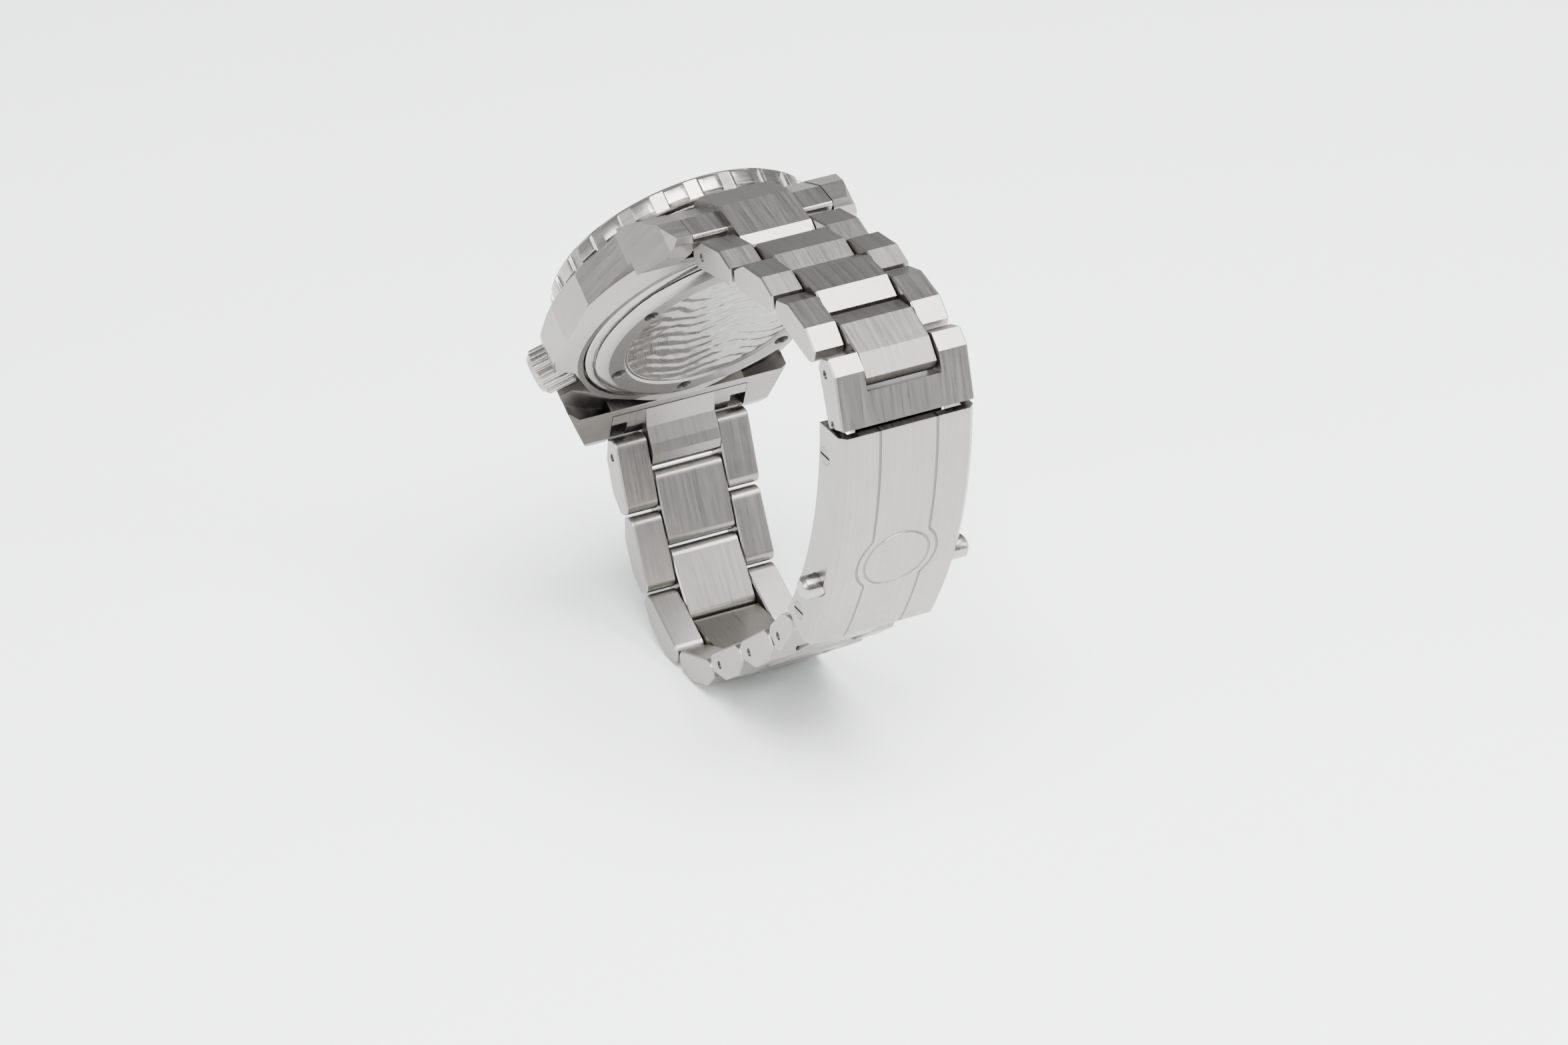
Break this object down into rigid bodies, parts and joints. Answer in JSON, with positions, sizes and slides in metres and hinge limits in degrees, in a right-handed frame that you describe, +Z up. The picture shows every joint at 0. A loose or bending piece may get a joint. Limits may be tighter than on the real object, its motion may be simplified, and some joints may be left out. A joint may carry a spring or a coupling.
{
  "type": "dive watch on a folding-clasp link bracelet",
  "caption": "Dive watch with a notched turning bezel and screw-down crown, on a three-row steel link bracelet closed by a folding clasp.",
  "frame": {"origin": "centre of the wrist opening, on the dial's axis, 26 mm behind the plane where the case back meets the case", "axes": "+X along the wrist towards the crown side, +Z up, dial facing -Y and up at 58 degrees from +Z; +Y towards the clasp"},
  "size_m": [0.0473, 0.0804, 0.0793],
  "materials": {
    "case_steel": "fine brushed stainless steel",
    "back_steel": "turned stainless steel, matt ring",
    "gasket_rubber": "nitrile rubber",
    "sapphire": "polished domed crystal",
    "rehaut_metal": "dark satin",
    "dial_face": "matt black",
    "movement_metal": "plated plates",
    "holder_plastic": "moulded nylon",
    "stem_steel": "ground steel",
    "crown_steel": "turned and fluted stainless steel",
    "bezel_steel": "polished stainless steel",
    "insert_coating": "anodised black",
    "lume": "luminous paint",
    "hand_metal": "polished hands",
    "outer_link_steel": "brushed along the bracelet",
    "centre_link_steel": "brushed along the bracelet",
    "pin_steel": "drawn steel",
    "screw_steel": "turned and slotted steel",
    "blade_steel": "pressed spring steel",
    "button_steel": "turned steel",
    "clasp_steel": "brushed stainless steel"
  },
  "bodies": {
    "head": {"mid_case": "case_steel", "case_back": "back_steel", "case_back_gasket": "gasket_rubber", "crystal": "sapphire", "rehaut_ring": "rehaut_metal", "dial": "dial_face", "movement": "movement_metal", "movement_holder": "holder_plastic", "crown_tube": "stem_steel", "end_link_12": "case_steel", "end_link_6": "case_steel", "spring_bar_12": "stem_steel", "spring_bar_6": "stem_steel"},
    "bezel": {"bezel_ring": "bezel_steel", "bezel_insert": "insert_coating", "bezel_pip": "lume"},
    "stem": {"winding_stem": "stem_steel"},
    "crown": {"crown": "crown_steel"},
    "hour": {"hour_hand": "hand_metal"},
    "minute": {"minute_hand": "hand_metal"},
    "seconds": {"seconds_hand": "hand_metal"},
    "outer_12_1": {"outer_links_12_1": "outer_link_steel", "link_pins_12_1": "pin_steel"},
    "centre_12_1": {"centre_link_12_1": "centre_link_steel"},
    "outer_12_2": {"outer_links_12_2": "outer_link_steel", "link_pins_12_2": "pin_steel"},
    "centre_12_2": {"centre_link_12_2": "centre_link_steel"},
    "outer_12_3": {"outer_links_12_3": "outer_link_steel", "link_pins_12_3": "pin_steel"},
    "centre_12_3": {"centre_link_12_3": "centre_link_steel"},
    "end_12": {"clasp_end_link_12": "clasp_steel", "clasp_end_pins_12": "pin_steel"},
    "outer_6_1": {"outer_links_6_1": "outer_link_steel", "link_pins_6_1": "pin_steel"},
    "centre_6_1": {"centre_link_6_1": "centre_link_steel"},
    "outer_6_2": {"outer_links_6_2": "outer_link_steel", "link_pins_6_2": "pin_steel"},
    "centre_6_2": {"centre_link_6_2": "centre_link_steel"},
    "outer_6_3": {"outer_links_6_3": "outer_link_steel", "link_pins_6_3": "pin_steel"},
    "centre_6_3": {"centre_link_6_3": "centre_link_steel"},
    "outer_6_4": {"outer_links_6_4": "outer_link_steel", "link_pins_6_4": "pin_steel"},
    "centre_6_4": {"centre_link_6_4": "centre_link_steel"},
    "outer_6_5": {"outer_links_6_5": "outer_link_steel", "link_pins_6_5": "pin_steel"},
    "centre_6_5": {"centre_link_6_5": "centre_link_steel"},
    "outer_6_6": {"outer_links_6_6": "outer_link_steel", "link_pins_6_6": "pin_steel"},
    "centre_6_6": {"centre_link_6_6": "centre_link_steel"},
    "end_6": {"clasp_end_link_6": "clasp_steel", "clasp_end_pin_6": "pin_steel"},
    "cover": {"clasp_cover": "clasp_steel", "hinge_screws": "screw_steel"},
    "outer_blade": {"outer_blade": "blade_steel", "fold_pin": "pin_steel"},
    "inner_blade": {"inner_blade": "blade_steel"},
    "button_right": {"push_button_right": "button_steel"},
    "button_left": {"push_button_left": "button_steel"}
  },
  "joints": [
    {"name": "bezel_turn", "type": "hinge", "parent": "head", "child": "bezel", "pos_m": [0, 0, 0], "axis": [0, -0.848, 0.5299], "continuous": true},
    {"name": "crown_pull", "type": "slide", "parent": "head", "child": "stem", "axis": [0.866, -0.265, -0.424], "range_m": [0, 0.002]},
    {"name": "crown_turn", "type": "hinge", "parent": "stem", "child": "crown", "pos_m": [0.02078, -0.03256, 0.0062], "axis": [0.866, -0.265, -0.424], "continuous": true},
    {"name": "minute_turn", "type": "hinge", "parent": "head", "child": "minute", "pos_m": [0, 0, 0], "axis": [0, 0.848, -0.5299], "continuous": true},
    {"name": "hour_turn", "type": "hinge", "parent": "head", "child": "hour", "pos_m": [0, 0, 0], "axis": [0, 0.848, -0.5299], "continuous": true},
    {"name": "seconds_turn", "type": "hinge", "parent": "head", "child": "seconds", "pos_m": [0, 0, 0], "axis": [0, 0.848, -0.5299], "continuous": true},
    {"name": "outer_12_1_hinge", "type": "hinge", "parent": "head", "child": "outer_12_1", "pos_m": [0, -0.00344, 0.03564], "axis": [1, 0, 0], "range_deg": [0, 25]},
    {"name": "centre_12_1_hinge", "type": "hinge", "parent": "outer_12_1", "child": "centre_12_1", "pos_m": [0, 0.00245, 0.03678], "axis": [1, 0, 0], "range_deg": [0, 6]},
    {"name": "outer_12_2_hinge", "type": "hinge", "parent": "centre_12_1", "child": "outer_12_2", "pos_m": [0, 0.00838, 0.03772], "axis": [1, 0, 0], "range_deg": [0, 6]},
    {"name": "centre_12_2_hinge", "type": "hinge", "parent": "outer_12_2", "child": "centre_12_2", "pos_m": [0, 0.01433, 0.03845], "axis": [1, 0, 0], "range_deg": [0, 15]},
    {"name": "outer_12_3_hinge", "type": "hinge", "parent": "centre_12_2", "child": "outer_12_3", "pos_m": [0, 0.02032, 0.03803], "axis": [1, 0, 0], "range_deg": [0, 13]},
    {"name": "centre_12_3_hinge", "type": "hinge", "parent": "outer_12_3", "child": "centre_12_3", "pos_m": [0, 0.02617, 0.03668], "axis": [1, 0, 0], "range_deg": [0, 12]},
    {"name": "end_12_hinge", "type": "hinge", "parent": "centre_12_3", "child": "end_12", "pos_m": [0, 0.03177, 0.03453], "axis": [1, 0, 0], "range_deg": [0, 53]},
    {"name": "outer_6_1_hinge", "type": "hinge", "parent": "head", "child": "outer_6_1", "pos_m": [0, -0.03354, -0.01253], "axis": [-1, 0, 0], "range_deg": [0, 25]},
    {"name": "centre_6_1_hinge", "type": "hinge", "parent": "outer_6_1", "child": "centre_6_1", "pos_m": [0, -0.03129, -0.0181], "axis": [-1, 0, 0], "range_deg": [0, 8]},
    {"name": "outer_6_2_hinge", "type": "hinge", "parent": "centre_6_1", "child": "outer_6_2", "pos_m": [0, -0.02866, -0.02349], "axis": [-1, 0, 0], "range_deg": [0, 6]},
    {"name": "centre_6_2_hinge", "type": "hinge", "parent": "outer_6_2", "child": "centre_6_2", "pos_m": [0, -0.02584, -0.02879], "axis": [-1, 0, 0], "range_deg": [0, 14]},
    {"name": "outer_6_3_hinge", "type": "hinge", "parent": "centre_6_2", "child": "outer_6_3", "pos_m": [0, -0.02215, -0.03351], "axis": [-1, 0, 0], "range_deg": [0, 30]},
    {"name": "centre_6_3_hinge", "type": "hinge", "parent": "outer_6_3", "child": "centre_6_3", "pos_m": [0, -0.01676, -0.03614], "axis": [-1, 0, 0], "range_deg": [0, 30]},
    {"name": "outer_6_4_hinge", "type": "hinge", "parent": "centre_6_3", "child": "outer_6_4", "pos_m": [0, -0.01076, -0.03614], "axis": [-1, 0, 0], "range_deg": [0, 26]},
    {"name": "centre_6_4_hinge", "type": "hinge", "parent": "outer_6_4", "child": "centre_6_4", "pos_m": [0, -0.00519, -0.0339], "axis": [-1, 0, 0], "range_deg": [0, 20]},
    {"name": "outer_6_5_hinge", "type": "hinge", "parent": "centre_6_4", "child": "outer_6_5", "pos_m": [0, -0.00046, -0.0302], "axis": [-1, 0, 0], "range_deg": [0, 4]},
    {"name": "centre_6_5_hinge", "type": "hinge", "parent": "outer_6_5", "child": "centre_6_5", "pos_m": [0, 0.00426, -0.02651], "axis": [-1, 0, 0], "range_deg": [0, 5]},
    {"name": "outer_6_6_hinge", "type": "hinge", "parent": "centre_6_5", "child": "outer_6_6", "pos_m": [0, 0.00893, -0.02273], "axis": [-1, 0, 0], "range_deg": [0, 5]},
    {"name": "centre_6_6_hinge", "type": "hinge", "parent": "outer_6_6", "child": "centre_6_6", "pos_m": [0, 0.01352, -0.01888], "axis": [-1, 0, 0], "range_deg": [0, 6]},
    {"name": "end_6_hinge", "type": "hinge", "parent": "centre_6_6", "child": "end_6", "pos_m": [0, 0.01798, -0.01486], "axis": [-1, 0, 0], "range_deg": [0, 13]},
    {"name": "cover_hinge", "type": "hinge", "parent": "end_6", "child": "cover", "pos_m": [0, 0.02454, -0.00686], "axis": [-1, 0, 0], "range_deg": [0, 10]},
    {"name": "blade_hinge", "type": "hinge", "parent": "cover", "child": "outer_blade", "pos_m": [0, 0.03215, 0.02211], "axis": [-1, 0, 0], "range_deg": [0, 35]},
    {"name": "fold_hinge", "type": "hinge", "parent": "outer_blade", "child": "inner_blade", "pos_m": [0, 0.03077, 0.00777], "axis": [1, 0, 0], "range_deg": [0, 35]},
    {"name": "button_right_press", "type": "slide", "parent": "cover", "child": "button_right", "axis": [-1, 0, 0], "range_m": [0, 0.0012], "stiffness_N_per_m": 400, "springref_m": -0.001},
    {"name": "button_left_press", "type": "slide", "parent": "cover", "child": "button_left", "axis": [1, 0, 0], "range_m": [0, 0.0012], "stiffness_N_per_m": 400, "springref_m": -0.001}
  ],
  "couplings": [
    {"joint": "hour_turn", "follows": "minute_turn", "ratio": 0.083333},
    {"joint": "fold_hinge", "follows": "blade_hinge", "ratio": 1}
  ]
}
